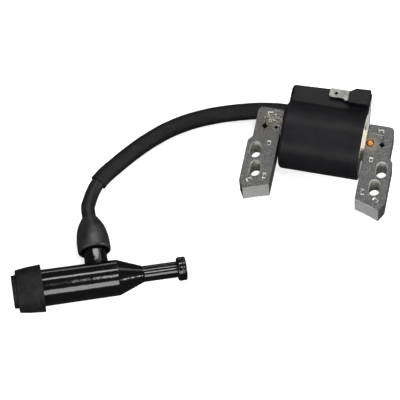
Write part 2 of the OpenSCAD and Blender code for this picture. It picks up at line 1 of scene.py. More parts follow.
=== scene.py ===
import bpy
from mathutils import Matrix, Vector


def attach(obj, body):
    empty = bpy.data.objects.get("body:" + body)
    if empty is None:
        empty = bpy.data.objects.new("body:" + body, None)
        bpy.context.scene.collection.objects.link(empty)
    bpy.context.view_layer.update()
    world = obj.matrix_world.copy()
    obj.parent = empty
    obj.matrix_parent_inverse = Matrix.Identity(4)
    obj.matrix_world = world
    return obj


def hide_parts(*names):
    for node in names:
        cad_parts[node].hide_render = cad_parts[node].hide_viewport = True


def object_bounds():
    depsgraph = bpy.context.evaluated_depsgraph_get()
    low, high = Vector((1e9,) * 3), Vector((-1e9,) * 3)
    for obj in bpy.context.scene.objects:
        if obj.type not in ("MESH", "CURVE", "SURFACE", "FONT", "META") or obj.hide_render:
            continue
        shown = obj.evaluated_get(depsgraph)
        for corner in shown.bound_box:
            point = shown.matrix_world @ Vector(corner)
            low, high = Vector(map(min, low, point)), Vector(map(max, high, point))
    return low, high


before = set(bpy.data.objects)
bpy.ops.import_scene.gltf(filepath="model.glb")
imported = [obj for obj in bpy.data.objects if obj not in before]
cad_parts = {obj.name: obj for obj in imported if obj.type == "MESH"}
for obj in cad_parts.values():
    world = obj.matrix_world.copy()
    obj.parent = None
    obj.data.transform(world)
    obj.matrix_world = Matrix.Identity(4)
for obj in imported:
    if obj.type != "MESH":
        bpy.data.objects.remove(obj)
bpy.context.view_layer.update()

import math
import random

import bmesh
import bpy
from mathutils import Matrix, Vector, noise

MM = 0.001
LAMINATION = 0.5  # thickness of one sheet of the core
scene = bpy.context.scene


# ---------------------------------------------------------------- camera

VIEW_TARGET = Vector((-0.05537, -0.02074, -0.00183))
VIEW_DISTANCE = 1.1
VIEW_AZIMUTH = math.radians(19.4)
VIEW_ELEVATION = math.radians(66.0)
VIEW_ROLL = math.radians(-8.3)
SENSOR = 36.0
LENS = 198.0


def direction(azimuth, elevation):
    """Unit vector from the object towards a place at this azimuth and elevation."""
    return Vector((math.sin(azimuth) * math.cos(elevation),
                   -math.cos(azimuth) * math.cos(elevation),
                   math.sin(elevation)))


def make_camera():
    """The photograph's angle: above the poles and to their right, rolled a little."""
    back = direction(VIEW_AZIMUTH, VIEW_ELEVATION)
    right = Vector((math.cos(VIEW_AZIMUTH), math.sin(VIEW_AZIMUTH), 0))
    up = back.cross(right)
    rolled_right = math.cos(VIEW_ROLL) * right + math.sin(VIEW_ROLL) * up
    rolled_up = back.cross(rolled_right)
    data = bpy.data.cameras.new("camera")
    data.sensor_width = SENSOR
    data.lens = LENS
    data.clip_end = 10
    camera = bpy.data.objects.new("camera", data)
    turn = Matrix((rolled_right, rolled_up, back)).transposed().to_4x4()
    camera.matrix_world = Matrix.Translation(VIEW_TARGET + VIEW_DISTANCE * back) @ turn
    scene.collection.objects.link(camera)
    scene.camera = camera


make_camera()


# ---------------------------------------------------------------- mesh helpers

def finished_piece(name, body, mesh, work, materials, smooth):
    """An object from an edited mesh, smooth shaded apart from its sharp edges."""
    bmesh.ops.recalc_face_normals(work, faces=work.faces)
    work.to_mesh(mesh)
    work.free()
    for face in mesh.polygons:
        face.use_smooth = True
    mesh.set_sharp_from_angle(angle=smooth)
    piece = bpy.data.objects.new(name, mesh)
    scene.collection.objects.link(piece)
    for material in materials:
        mesh.materials.append(material)
    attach(piece, body)
    return piece


def make_piece(name, body, verts, faces, material, smooth=math.radians(32)):
    """A mesh piece from points in millimetres, riding on a body. Edges sharper than smooth stay sharp."""
    mesh = bpy.data.meshes.new(name)
    mesh.from_pydata([Vector(v) * MM for v in verts], [], faces)
    mesh.validate()
    work = bmesh.new()
    work.from_mesh(mesh)
    return finished_piece(name, body, mesh, work, [material], smooth)


def loft(rings, wrap=False, caps=True):
    """Faces that join rings of equally many points. wrap joins the last ring to the first."""
    n = len(rings[0])
    verts = [p for ring in rings for p in ring]
    faces = []
    last = len(rings) if wrap else len(rings) - 1
    for i in range(last):
        a = i * n
        b = ((i + 1) % len(rings)) * n
        faces += [(a + k, a + (k + 1) % n, b + (k + 1) % n, b + k) for k in range(n)]
    if caps and not wrap:
        faces.append(tuple(range(n - 1, -1, -1)))
        faces.append(tuple((len(rings) - 1) * n + k for k in range(n)))
    return verts, faces


def joined(*shells):
    """One list of points and faces from several."""
    verts, faces = [], []
    for v, f in shells:
        start = len(verts)
        verts += list(v)
        faces += [tuple(i + start for i in face) for face in f]
    return verts, faces


def rounded(corners, steps=6, closed=True):
    """Outline through corners given as (x, y, radius), with each corner turned into an arc."""
    points = []
    count = len(corners)
    for i, (x, y, radius) in enumerate(corners):
        here = Vector((x, y))
        if radius <= 0 or (not closed and i in (0, count - 1)):
            points.append((x, y))
            continue
        before = (Vector(corners[i - 1][:2]) - here).normalized()
        after = (Vector(corners[(i + 1) % count][:2]) - here).normalized()
        half = before.angle(after) / 2
        reach = radius / math.tan(half)
        centre = here + (before + after).normalized() * (radius / math.sin(half))
        start = here + before * reach - centre
        sweep = math.pi - 2 * half
        side = 1 if before.x * after.y - before.y * after.x < 0 else -1
        for k in range(steps + 1):
            turn = side * sweep * k / steps
            c, s = math.cos(turn), math.sin(turn)
            spot = centre + Vector((start.x * c - start.y * s, start.x * s + start.y * c))
            points.append((spot.x, spot.y))
    return points


def lathe(profile, place, count=96):
    """Turns (along, radius) points about an axis. place(along, radius, angle) gives the point."""
    rings = []
    for along, radius in profile:
        rings.append([place(along, radius, 2 * math.pi * k / count) for k in range(count)])
    return rings


def arc(cx, cy, radius, start, end, steps):
    """Points along an arc, with its angles in degrees."""
    angles = [math.radians(start + (end - start) * k / steps) for k in range(steps + 1)]
    return [(cx + radius * math.cos(a), cy + radius * math.sin(a)) for a in angles]


# ---------------------------------------------------------------- materials

class Shader:
    """Small helper that builds a node material on one Principled shader."""

    def __init__(self, name, roughness=0.5, metallic=0.0, **fixed):
        self.material = bpy.data.materials.new(name)
        self.material.use_nodes = True
        self.tree = self.material.node_tree
        self.shader = self.tree.nodes["Principled BSDF"]
        self.shader.inputs["Roughness"].default_value = roughness
        self.shader.inputs["Metallic"].default_value = metallic
        for socket, value in fixed.items():
            self.shader.inputs[socket.replace("_", " ")].default_value = value
        self.place = self.node("ShaderNodeTexCoord").outputs["Object"]
        self.height = None

    def node(self, kind, **values):
        made = self.tree.nodes.new(kind)
        for name, value in values.items():
            if hasattr(made, name):
                setattr(made, name, value)
            else:
                made.inputs[name.replace("_", " ")].default_value = value
        return made

    def link(self, out, into):
        self.tree.links.new(out, into)

    def stretched(self, scale):
        """The object's coordinates, scaled on each axis."""
        mapping = self.node("ShaderNodeMapping")
        mapping.inputs["Scale"].default_value = scale
        self.link(self.place, mapping.inputs["Vector"])
        return mapping.outputs["Vector"]

    def noise(self, scale, detail=4, stretch=None, rough=0.6):
        made = self.node("ShaderNodeTexNoise", Scale=scale, Detail=detail, Roughness=rough)
        self.link(self.stretched(stretch) if stretch else self.place, made.inputs["Vector"])
        return made.outputs["Fac"]

    def math(self, operation, a, b=0.0):
        made = self.node("ShaderNodeMath")
        made.operation = operation
        for socket, value in zip(made.inputs, (a, b)):
            if isinstance(value, (int, float)):
                socket.default_value = value
            else:
                self.link(value, socket)
        return made.outputs[0]

    def ramp(self, value, stops):
        made = self.node("ShaderNodeValToRGB")
        elements = made.color_ramp.elements
        while len(elements) < len(stops):
            elements.new(0.5)
        for element, (position, colour) in zip(elements, stops):
            element.position = position
            element.color = (*colour, 1)
        self.link(value, made.inputs["Fac"])
        return made.outputs["Color"]

    def mix(self, factor, a, b, blend="MIX"):
        made = self.node("ShaderNodeMix")
        made.data_type = "RGBA"
        made.blend_type = blend
        for index, value in ((0, factor), (6, a), (7, b)):  # a Mix node's sockets for colours
            socket = made.inputs[index]
            if isinstance(value, (int, float)):
                socket.default_value = value
            elif isinstance(value, tuple):
                socket.default_value = (*value, 1)
            else:
                self.link(value, socket)
        return made.outputs[2]

    def map(self, value, low, high, start=0.3, end=0.7):
        """value between start and end becomes low to high."""
        made = self.node("ShaderNodeMapRange")
        self.link(value, made.inputs["Value"])
        made.inputs["From Min"].default_value = start
        made.inputs["From Max"].default_value = end
        made.inputs["To Min"].default_value = low
        made.inputs["To Max"].default_value = high
        return made.outputs["Result"]

    def clamp(self, value):
        made = self.node("ShaderNodeClamp")
        self.link(value, made.inputs["Value"])
        return made.outputs["Result"]

    def grey(self, colour):
        made = self.node("ShaderNodeRGBToBW")
        self.link(colour, made.inputs["Color"])
        return made.outputs["Val"]

    def colour(self, out):
        self.link(out, self.shader.inputs["Base Color"])
        return self

    def rough(self, out):
        self.link(out, self.shader.inputs["Roughness"])
        return self

    def bump(self, height, distance, strength=1.0):
        made = self.node("ShaderNodeBump")
        made.inputs["Distance"].default_value = distance
        made.inputs["Strength"].default_value = strength
        self.link(height, made.inputs["Height"])
        if self.height is not None:
            self.link(self.height, made.inputs["Normal"])
        self.height = made.outputs["Normal"]
        self.link(self.height, self.shader.inputs["Normal"])
        return self

    def near(self, centre, radius):
        """1 at a point of the row frame, falling to 0 at this radius."""
        away = self.node("ShaderNodeVectorMath")
        away.operation = "DISTANCE"
        self.link(self.place, away.inputs[0])
        away.inputs[1].default_value = centre
        return self.map(away.outputs["Value"], 1.0, 0.0, 0.0, radius)


# A tan stain, a dark umber patch and a resin splash on the legs' tops: centre and radius, in metres.
TAN_STAIN = ((0.0235, 0.0180, 0.013), 0.0052)
UMBER_PATCH = ((-0.0255, 0.0200, 0.013), 0.0105)
RESIN_SPLASH = ((-0.0262, 0.0238, 0.013), 0.0052)


def lamination_material(name, tones, sheet, metallic=0.5, stained=False):
    """Electrical steel: dark, middle and light mottling, with some sheets of the tone sheet, stains and a
    dark umber patch.
    """
    m = Shader(name, metallic=metallic)
    grain = m.noise(900, 6)
    cloud = m.noise(130, 3)
    fine = m.noise(3800, 3)
    dark, middle, light = [(tone, tone, 0.985 * tone) for tone in tones]
    base = m.ramp(grain, [(0.30, dark), (0.5, middle), (0.72, light)])
    base = m.mix(m.map(cloud, 0.0, 0.55), base, tuple(1.25 * value for value in middle))
    split = m.node("ShaderNodeSeparateXYZ")
    m.link(m.place, split.inputs[0])
    layer = m.math("FLOOR", m.math("DIVIDE", split.outputs["Z"], LAMINATION * MM))
    tone = m.node("ShaderNodeTexWhiteNoise")
    tone.noise_dimensions = "1D"
    m.link(layer, tone.inputs["W"])
    base = m.mix(m.map(tone.outputs["Value"], 0.0, 0.45, 0.0, 1.0), base, (sheet, sheet, 0.98 * sheet))
    if stained:
        specks = m.ramp(m.noise(1700, 2, rough=0.8), [(0.60, (0, 0, 0)), (0.68, (1, 1, 1))])
        base = m.mix(m.math("MULTIPLY", m.grey(specks), 0.45), base, (0.50, 0.50, 0.48))
        tan = m.math("MULTIPLY", m.near(*TAN_STAIN), m.map(cloud, 0.4, 1.6))
        base = m.mix(m.clamp(tan), base, (0.24, 0.18, 0.09))
        # A dark umber patch on the left leg's top by the crossbar.
        umber = m.math("MULTIPLY", m.near(*UMBER_PATCH), m.map(grain, 0.5, 1.5))
        base = m.mix(m.clamp(umber), base, (0.060, 0.050, 0.040))
        splash = m.math("MULTIPLY", m.near(*RESIN_SPLASH),
                        m.grey(m.ramp(m.noise(1100, 3), [(0.52, (0, 0, 0)), (0.60, (1, 1, 1))])))
        base = m.mix(m.clamp(m.math("MULTIPLY", splash, 1.5)), base, (0.42, 0.41, 0.36))
    m.colour(base).rough(m.map(fine, 0.38, 0.62))
    m.bump(grain, 0.00005).bump(fine, 0.00002)
    return m.material


def plastic_material(name, dark, light, roughness, grain_size=2600, shine=0.4):
    """Moulded plastic with a fine grain and faint clouds."""
    m = Shader(name, Specular_IOR_Level=shine)
    grain = m.noise(grain_size, 5)
    cloud = m.noise(90, 4)
    m.colour(m.ramp(cloud, [(0.35, dark), (0.7, light)]))
    m.rough(m.map(grain, roughness - 0.06, roughness + 0.1))
    m.bump(grain, 0.00002)
    return m.material


def rubber_material(name, dark, light, roughness, shine=0.22):
    """Soft black rubber with bloom in faint clouds and a fine mould grain."""
    m = Shader(name, Specular_IOR_Level=shine)
    bloom = m.noise(260, 5)
    grain = m.noise(5200, 3)
    m.colour(m.ramp(bloom, [(0.35, dark), (0.68, light)]))
    m.rough(m.map(bloom, roughness - 0.08, roughness + 0.12))
    m.bump(bloom, 0.00003).bump(grain, 0.00001)
    return m.material


def glossy_material():
    """Hard glossy black plastic with faint moulding waves and fine rub marks."""
    m = Shader("cap_gloss", Specular_IOR_Level=0.5)
    waves = m.noise(110, 3)
    rubs = m.noise(700, 6, stretch=(1, 6, 6))
    m.colour(m.ramp(rubs, [(0.3, (0.002, 0.002, 0.002)), (0.8, (0.005, 0.005, 0.005))]))
    m.rough(m.map(rubs, 0.05, 0.16))
    m.bump(waves, 0.00020, 0.6)
    return m.material


def metal_material(name, low, high, roughness, metallic=1.0, scratch=(1, 9, 1)):
    """Satin metal with drawn scratches and slightly uneven tone."""
    m = Shader(name, metallic=metallic)
    lines = m.noise(1500, 5, stretch=scratch)
    cloud = m.noise(420, 4)
    m.colour(m.ramp(cloud, [(0.32, low), (0.7, high)]))
    m.rough(m.map(lines, roughness - 0.08, roughness + 0.12))
    m.bump(lines, 0.00001)
    return m.material


def resin_material():
    """Cream potting resin, slightly translucent and cloudy, with an uneven skin."""
    m = Shader("resin", Subsurface_Weight=0.15, Coat_Weight=0.3, Coat_Roughness=0.25)
    m.shader.inputs["Subsurface Radius"].default_value = (0.002, 0.0015, 0.001)
    m.shader.inputs["Subsurface Scale"].default_value = 0.3
    cloud = m.noise(300, 4)
    m.colour(m.ramp(cloud, [(0.35, (0.84, 0.82, 0.73)), (0.65, (0.93, 0.92, 0.87))]))
    m.rough(m.map(cloud, 0.3, 0.5))
    m.bump(m.noise(1400, 3), 0.00004)
    return m.material


def wire_material():
    """Wound enamelled wire: fine turns along the winding's axis."""
    m = Shader("magnet_wire", metallic=0.8, roughness=0.3)
    wave = m.node("ShaderNodeTexWave", Scale=1600.0, Distortion=0.4)
    wave.bands_direction = "X"
    m.link(m.place, wave.inputs["Vector"])
    m.colour(m.ramp(wave.outputs["Fac"], [(0.1, (0.16, 0.05, 0.015)), (0.8, (0.55, 0.22, 0.07))]))
    m.bump(wave.outputs["Fac"], 0.00004)
    return m.material


def board_material():
    """Green lacquered glass-fibre board with the weave showing through."""
    m = Shader("board", Coat_Weight=0.4, Coat_Roughness=0.2)
    weave = m.node("ShaderNodeTexChecker", Scale=1500.0)
    m.link(m.place, weave.inputs["Vector"])
    m.colour(m.mix(m.map(m.noise(300), 0.2, 0.8), (0.02, 0.13, 0.05), (0.03, 0.19, 0.08)))
    m.rough(m.map(weave.outputs["Fac"], 0.3, 0.42, 0.0, 1.0))
    return m.material


def sleeve_material():
    """Varnished black woven sleeve: dark valleys, slightly dusty crowns."""
    m = Shader("woven_sleeve", Specular_IOR_Level=0.2)
    fibres = m.noise(5000, 4)
    dust = m.noise(220, 5)
    m.colour(m.ramp(dust, [(0.3, (0.003, 0.003, 0.003)), (0.75, (0.010, 0.010, 0.010))]))
    m.rough(m.map(fibres, 0.42, 0.68))
    m.bump(fibres, 0.00003)
    return m.material


LAMINATED = lamination_material("lamination", (0.028, 0.056, 0.130), 0.10, stained=True)
# A lighter copy of the steel for the faces that look along y: the ground pole faces' own bright metal, also
# painted lighter as if lit from the front.
GROUND_AND_LIT = lamination_material("ground_pole_painted_light", (0.26, 0.38, 0.52), 0.62)
# A dark copy of the steel for the faces that look sideways: painted shade on the sides of the legs and
# crossbar.
SIDE_SHADE = lamination_material("painted_side_shade", (0.020, 0.035, 0.060), 0.05, 0.3)
SHEARED = metal_material("sheared_slot", (0.34, 0.34, 0.32), (0.85, 0.85, 0.80), 0.36, 0.5, (1, 1, 0.04))
HOUSING = plastic_material("housing_black", (0.0066, 0.0066, 0.0076), (0.0118, 0.0118, 0.0135), 0.42,
                           shine=0.12)
DARK_PLASTIC = plastic_material("chip_black", (0.008, 0.008, 0.008), (0.016, 0.016, 0.016), 0.55,
                                shine=0.2)
BOBBIN = plastic_material("bobbin_nylon", (0.62, 0.57, 0.45), (0.75, 0.71, 0.60), 0.42, 1800)
CERAMIC = plastic_material("ceramic", (0.42, 0.36, 0.25), (0.55, 0.49, 0.36), 0.5, 3000)
LEAD = rubber_material("lead_black", (0.006, 0.006, 0.007), (0.014, 0.014, 0.015), 0.48)
BOOT = rubber_material("boot_black", (0.009, 0.009, 0.010), (0.022, 0.022, 0.023), 0.40, 0.5)
SEAL = rubber_material("seal_black", (0.002, 0.002, 0.002), (0.013, 0.013, 0.012), 0.6, 0.2)
SLEEVE = sleeve_material()
GLOSS = glossy_material()
RESIN = resin_material()
WIRE = wire_material()
BOARD = board_material()
TINNED = metal_material("tinned", (0.12, 0.12, 0.112), (0.27, 0.265, 0.245), 0.40, 0.5)
STEEL = metal_material("rivet_steel", (0.40, 0.40, 0.40), (0.60, 0.60, 0.60), 0.30)
COPPER = metal_material("copper", (0.36, 0.13, 0.03), (0.62, 0.27, 0.08), 0.42, 0.8)
DULL = metal_material("dull_steel", (0.10, 0.10, 0.10), (0.22, 0.22, 0.21), 0.45)
# Painted shade for the ring of the copper rivet's well.
WELL_SHADE = plastic_material("well_painted_shade", (0.010, 0.008, 0.006), (0.030, 0.024, 0.018), 0.7, shine=0.2)
# A bright copy of the steel for the stamped dimples' walls: painted highlight where they catch the light.
DIMPLE_HIGHLIGHT = metal_material("dimple_painted_highlight", (0.16, 0.16, 0.15), (0.62, 0.62, 0.58), 0.38, 0.5, (1, 1, 1))
BRASS = metal_material("brass", (0.55, 0.38, 0.14), (0.78, 0.58, 0.25), 0.30)


# ---------------------------------------------------------------- high-tension lead

LEAD_ROUTE = [
    (-0.0202, 0.0347, -0.0018), (-0.0260, 0.0346, -0.0021), (-0.0320, 0.0342, -0.0028),
    (-0.0380, 0.0335, -0.0037), (-0.0440, 0.0324, -0.0046), (-0.0500, 0.0310, -0.0053),
    (-0.0560, 0.0292, -0.0058), (-0.0620, 0.0268, -0.0059), (-0.0680, 0.0239, -0.0059),
    (-0.0740, 0.0204, -0.0059), (-0.0800, 0.0161, -0.0059), (-0.0850, 0.0117, -0.0059),
    (-0.0900, 0.0067, -0.0059), (-0.0943, 0.0017, -0.0059), (-0.0983, -0.0033, -0.0059),
    (-0.1018, -0.0081, -0.0059), (-0.1044, -0.0116, -0.0059), (-0.1068, -0.0153, -0.00585),
    (-0.1085, -0.0190, -0.0056), (-0.1096, -0.0230, -0.0052), (-0.11015, -0.0271, -0.00465),
    (-0.1103, -0.0312, -0.00405), (-0.10994, -0.03516, -0.00338), (-0.10505, -0.0477, -0.00255),
    (-0.09942, -0.06213, -0.0016)]
LEAD_RADIUS = 3.5
SLEEVE_LAST = 18  # the route's point where the sleeve ends
SLEEVE_START = 1.8  # how far the sleeve reaches into the housing
SLEEVE_RADIUS = 4.38
SLEEVE_INNER = 3.7
STRANDS = 18
BRAID_PITCH = 0.75
BRAID_DEPTH = 0.32
FRAY = 0.10


def smooth_path(points, step):
    """Evenly spaced points along a Catmull-Rom curve through the given ones."""
    points = [Vector(p) for p in points]
    ends = [2 * points[0] - points[1]] + points + [2 * points[-1] - points[-2]]
    fine = []
    for i in range(1, len(ends) - 2):
        p0, p1, p2, p3 = ends[i - 1:i + 3]
        for k in range(24):
            t = k / 24
            fine.append(0.5 * (2 * p1 + (p2 - p0) * t + (2 * p0 - 5 * p1 + 4 * p2 - p3) * t * t
                               + (3 * p1 - p0 - 3 * p2 + p3) * t * t * t))
    fine.append(points[-1])
    lengths = [0.0]
    for a, b in zip(fine, fine[1:]):
        lengths.append(lengths[-1] + (b - a).length)
    count = max(2, round(lengths[-1] / step))
    path, j = [], 0
    for k in range(count + 1):
        want = lengths[-1] * k / count
        while j < len(fine) - 2 and lengths[j + 1] < want:
            j += 1
        share = (want - lengths[j]) / max(1e-9, lengths[j + 1] - lengths[j])
        path.append(fine[j].lerp(fine[j + 1], min(1.0, share)))
    return path


def tube_frames(path):
    """A direction and two sideways axes at each point, carried along without twist."""
    frames = []
    side = None
    for i, _ in enumerate(path):
        ahead = (path[min(i + 1, len(path) - 1)] - path[max(i - 1, 0)]).normalized()
        if side is None:
            side = Vector((0, 0, 1)).cross(ahead).normalized()
        side = (side - side.dot(ahead) * ahead).normalized()
        frames.append((ahead, side, ahead.cross(side)))
    return frames


def tube_ring(point, axes, radii):
    """One ring round a point, in millimetres, with a radius for each of its vertices."""
    _, side, up = axes
    n = len(radii)
    ring = []
    for k, radius in enumerate(radii):
        a = 2 * math.pi * k / n
        ring.append(point / MM + radius * (math.cos(a) * side + math.sin(a) * up))
    return ring


def make_lead():
    """The lead's insulation, from the housing to the screw in the cap."""
    path = smooth_path(LEAD_ROUTE, 0.0008)
    frames = tube_frames(path)
    count = 48
    rings = [tube_ring(p, f, [LEAD_RADIUS] * count) for p, f in zip(path, frames)]
    lead = make_piece("ht_lead", "coil", *loft(rings), LEAD)
    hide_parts("ht_lead_insulation")
    return lead, path


def weave_height(around, along):
    """Height of a two-way braid, from 0 to 1, with narrow gaps between strands. Both places count strands."""
    best = 0.0
    for one, other in ((around + along, around - along), (around - along, around + along)):
        sign = 1 if one == around + along else -1
        over = sign * math.sin(math.pi * (other + math.floor(one)))
        across = 2 * (one - math.floor(one)) - 1
        if abs(across) < 0.92:
            crown = math.sqrt(1 - (across / 0.95) ** 2)
            best = max(best, 0.32 + 0.34 * over + 0.34 * crown)
    return best


def make_sleeve():
    """The woven sleeve: its outside carries the braid, its inside is plain."""
    start = Vector(LEAD_ROUTE[0]) + Vector((SLEEVE_START * MM, 0, 0))
    route = [start] + [Vector(p) for p in LEAD_ROUTE[:SLEEVE_LAST + 1]]
    path = smooth_path(route, 0.00022)
    frames = tube_frames(path)
    count = STRANDS * 7
    strand = 2 * math.pi * SLEEVE_RADIUS / STRANDS
    rings = []
    travelled = 0.0
    for i, (point, axes) in enumerate(zip(path, frames)):
        if i:
            travelled += (point - path[i - 1]).length / MM
        last = (path[-1] - point).length / MM
        fray = FRAY * math.exp(-last / 0.8)
        radii = []
        for k in range(count):
            around = STRANDS * k / count
            high = weave_height(around, BRAID_PITCH * travelled / strand)
            wander = 0.06 * noise.noise(Vector((around * 0.4, travelled * 0.15, 3.0)))
            radius = SLEEVE_RADIUS - BRAID_DEPTH * (1 - high) - 0.06 + wander + fray
            radii.append(min(SLEEVE_RADIUS, radius))
        rings.append(tube_ring(point, axes, radii))
    inside = list(range(len(path) - 1, 0, -12)) + [0]
    rings += [tube_ring(path[i], frames[i], [SLEEVE_INNER] * count) for i in inside]
    sleeve = make_piece("braided_sleeve_woven", "coil", *loft(rings, wrap=True), SLEEVE)
    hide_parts("braided_sleeve")
    return sleeve


LEAD_PIECE, LEAD_PATH = make_lead()
SLEEVE_PIECE = make_sleeve()


# ---------------------------------------------------------------- laminated core

STACK = 13.0
LEG_INNER_X = 21.4
LEG_OUTER_X = 34.5
FLARE_X = 36.5
LEG_REAR_Y = 28.8
BAR_Y = 19.5
BAR_HALF = 4.0
BAR_END = LEG_INNER_X + 8.2
KEY_Y = BAR_Y - 1
KEY_HALF = 2.2 / math.sqrt(2)
SEAM = 0.06
FLYWHEEL_RADIUS = 87.0
POLE_X = 33.9
POLE_Y = -17.1
POLE_CENTRE_Y = POLE_Y - math.sqrt(FLYWHEEL_RADIUS ** 2 - POLE_X ** 2)
SLOTS = [(31.7, 5.0), (29.9, -5.0)]
SLOT_HALF = 2.7
SLOT_STRAIGHT = 1.6
# Stamped dimples: x, y, angle in degrees, half width, half length.
STAMPS = [(28.0, 25.8, 93, 0.8, 1.5), (25.7, 9.6, -3, 0.95, 1.25),
          (24.6, -8.3, 2, 0.85, 1.6), (31.6, -11.6, 55, 0.9, 1.5)]
GROOVE = 0.05
SLIP = 0.03  # the most by which one sheet lies further in than the next
# The edge tone is painted shade on the sideways faces; the pole tone is ground metal, painted lighter as if
# lit from the front.
ON_TOP, ON_DIMPLE, ON_SLOT, ON_EDGE, ON_POLE = range(5)  # the stack's materials, by face
RIVET_X = 23.75
RIVET_Y = BAR_Y - 0.9
RIVET_HEAD = 1.58
COUNTERSINK = 2.02


def pole_y(x):
    """The pole face's arc at x."""
    return POLE_CENTRE_Y + math.sqrt(FLYWHEEL_RADIUS ** 2 - x ** 2)


def leg_contour():
    """The right leg's outline, anticlockwise, starting at the crossbar's notch."""
    key_cut = KEY_HALF - SEAM
    notch_x = BAR_END + SEAM
    front = BAR_Y - BAR_HALF - SEAM
    rear = BAR_Y + BAR_HALF + SEAM
    pole = [(x, pole_y(x), 0) for x in (21.7, 23.5, 25.5, 27.5, 29.5, 31.5, 33.0)]
    corners = [(LEG_INNER_X, rear, 0.3), (notch_x, rear, 0.25), (notch_x, KEY_Y + key_cut, 0),
               (notch_x + key_cut, KEY_Y, 0.1), (notch_x, KEY_Y - key_cut, 0),
               (notch_x, front, 0.25), (LEG_INNER_X, front, 0.3)]
    corners += [(LEG_INNER_X, pole_y(LEG_INNER_X), 0.25)] + pole
    corners += [(POLE_X, POLE_Y, 0.2), (FLARE_X, -12.6, 0.4), (FLARE_X, 9.5, 0.8),
                (LEG_OUTER_X, 12.1, 0.8), (LEG_OUTER_X, LEG_REAR_Y, 2.5),
                (LEG_INNER_X, LEG_REAR_Y, 1.2)]
    return rounded(corners)


def slot_contour(x, y):
    """A mounting slot's outline, anticlockwise."""
    points = arc(x, y + SLOT_STRAIGHT, SLOT_HALF, 0, 180, 18)
    return points + arc(x, y - SLOT_STRAIGHT, SLOT_HALF, 180, 360, 18)


def stamp_contour(x, y, angle, wide, long):
    """A stamped dimple's rim, a turned rectangle with round corners."""
    c, s = math.cos(math.radians(angle)), math.sin(math.radians(angle))
    corners = rounded([(-wide, -long, 0.25), (wide, -long, 0.25), (wide, long, 0.25),
                       (-wide, long, 0.25)], 3)
    return [(x + c * px - s * py, y + s * px + c * py) for px, py in corners]


def inward(contour):
    """For each vertex, the sideways step that goes 1 mm into the material on the left."""
    steps = []
    n = len(contour)
    for i, (x, y) in enumerate(contour):
        ax, ay = contour[i - 1]
        bx, by = contour[(i + 1) % n]
        first = Vector((x - ax, y - ay)).normalized()
        second = Vector((bx - x, by - y)).normalized()
        normal = Vector((-first.y - second.y, first.x + second.x))
        size = normal.length
        normal = normal / size if size > 1e-6 else Vector((-first.y, first.x))
        scale = 1 / max(0.5, normal.dot(Vector((-first.y, first.x))))
        steps.append((normal.x * scale, normal.y * scale))
    return steps


def make_stack(name, contour, holes, stamps, mirrored, seed, height=STACK):
    """A stack of stamped sheets. Holes are given anticlockwise, as the contour is."""
    dice = random.Random(seed)
    layers = round(STACK / LAMINATION)
    work = bmesh.new()
    outlines = [(c, inward(c)) for c in [contour] + [hole[::-1] for hole in holes]]
    tops, bottoms = [], []
    levels = []
    for k in range(layers):
        low = k * LAMINATION
        slip = SLIP * dice.random()
        levels += [(low + 0.03, GROOVE + slip), (low + 0.10, slip),
                   (low + LAMINATION - 0.10, slip), (low + LAMINATION - 0.03, GROOVE + slip)]
    levels[0] = (0.0, 0.10)
    levels[-1] = (STACK, 0.10)
    for number, (outline, steps) in enumerate(outlines):
        side = ON_SLOT if number else ON_EDGE
        previous = None
        for z, inset in levels:
            ring = [work.verts.new((x + inset * sx, y + inset * sy, z))
                    for (x, y), (sx, sy) in zip(outline, steps)]
            if previous is None:
                bottoms.append(ring)
            else:
                for i in range(len(ring)):
                    j = (i + 1) % len(ring)
                    face = work.faces.new((previous[i], previous[j], ring[j], ring[i]))
                    dy, dx = outline[j][1] - outline[i][1], outline[i][0] - outline[j][0]
                    # Outer faces that look along y take the lit pole tone; the sideways ones take the painted
                    # side shade.
                    ground = side == ON_EDGE and abs(dy) < 0.6 * math.hypot(dy, dx)
                    face.material_index = ON_POLE if ground else side
            previous = ring
        tops.append(previous)
    for x, y, angle, wide, long in stamps:
        rim = [work.verts.new((px, py, STACK)) for px, py in stamp_contour(x, y, angle, wide, long)]
        c, s = math.cos(math.radians(angle)), math.sin(math.radians(angle))
        floor = []
        for v in rim:
            dx, dy = v.co.x - x, v.co.y - y
            along = (-s * dx + c * dy) / long
            depth = 0.16 + 0.20 * (1 + along)
            floor.append(work.verts.new((x + 0.60 * dx, y + 0.60 * dy, STACK - depth)))
        # The dimples' walls take the painted highlight.
        for i in range(len(rim)):
            j = (i + 1) % len(rim)
            work.faces.new((rim[j], rim[i], floor[i], floor[j])).material_index = ON_DIMPLE
        work.faces.new(floor)
        tops.append(rim)
    for rings in (tops, bottoms):
        edges = []
        for ring in rings:
            for i in range(len(ring)):
                edge = work.edges.get((ring[i], ring[(i + 1) % len(ring)]))
                edges.append(edge or work.edges.new((ring[i], ring[(i + 1) % len(ring)])))
        bmesh.ops.triangle_fill(work, use_beauty=True, edges=edges)
    if mirrored:
        for v in work.verts:
            v.co.x = -v.co.x
    for v in work.verts:
        v.co.z *= height / STACK
        v.co *= MM
    piece = finished_piece(name, "coil", bpy.data.meshes.new(name), work,
                           (LAMINATED, DIMPLE_HIGHLIGHT, SHEARED, SIDE_SHADE, GROUND_AND_LIT), math.radians(25))
    return piece


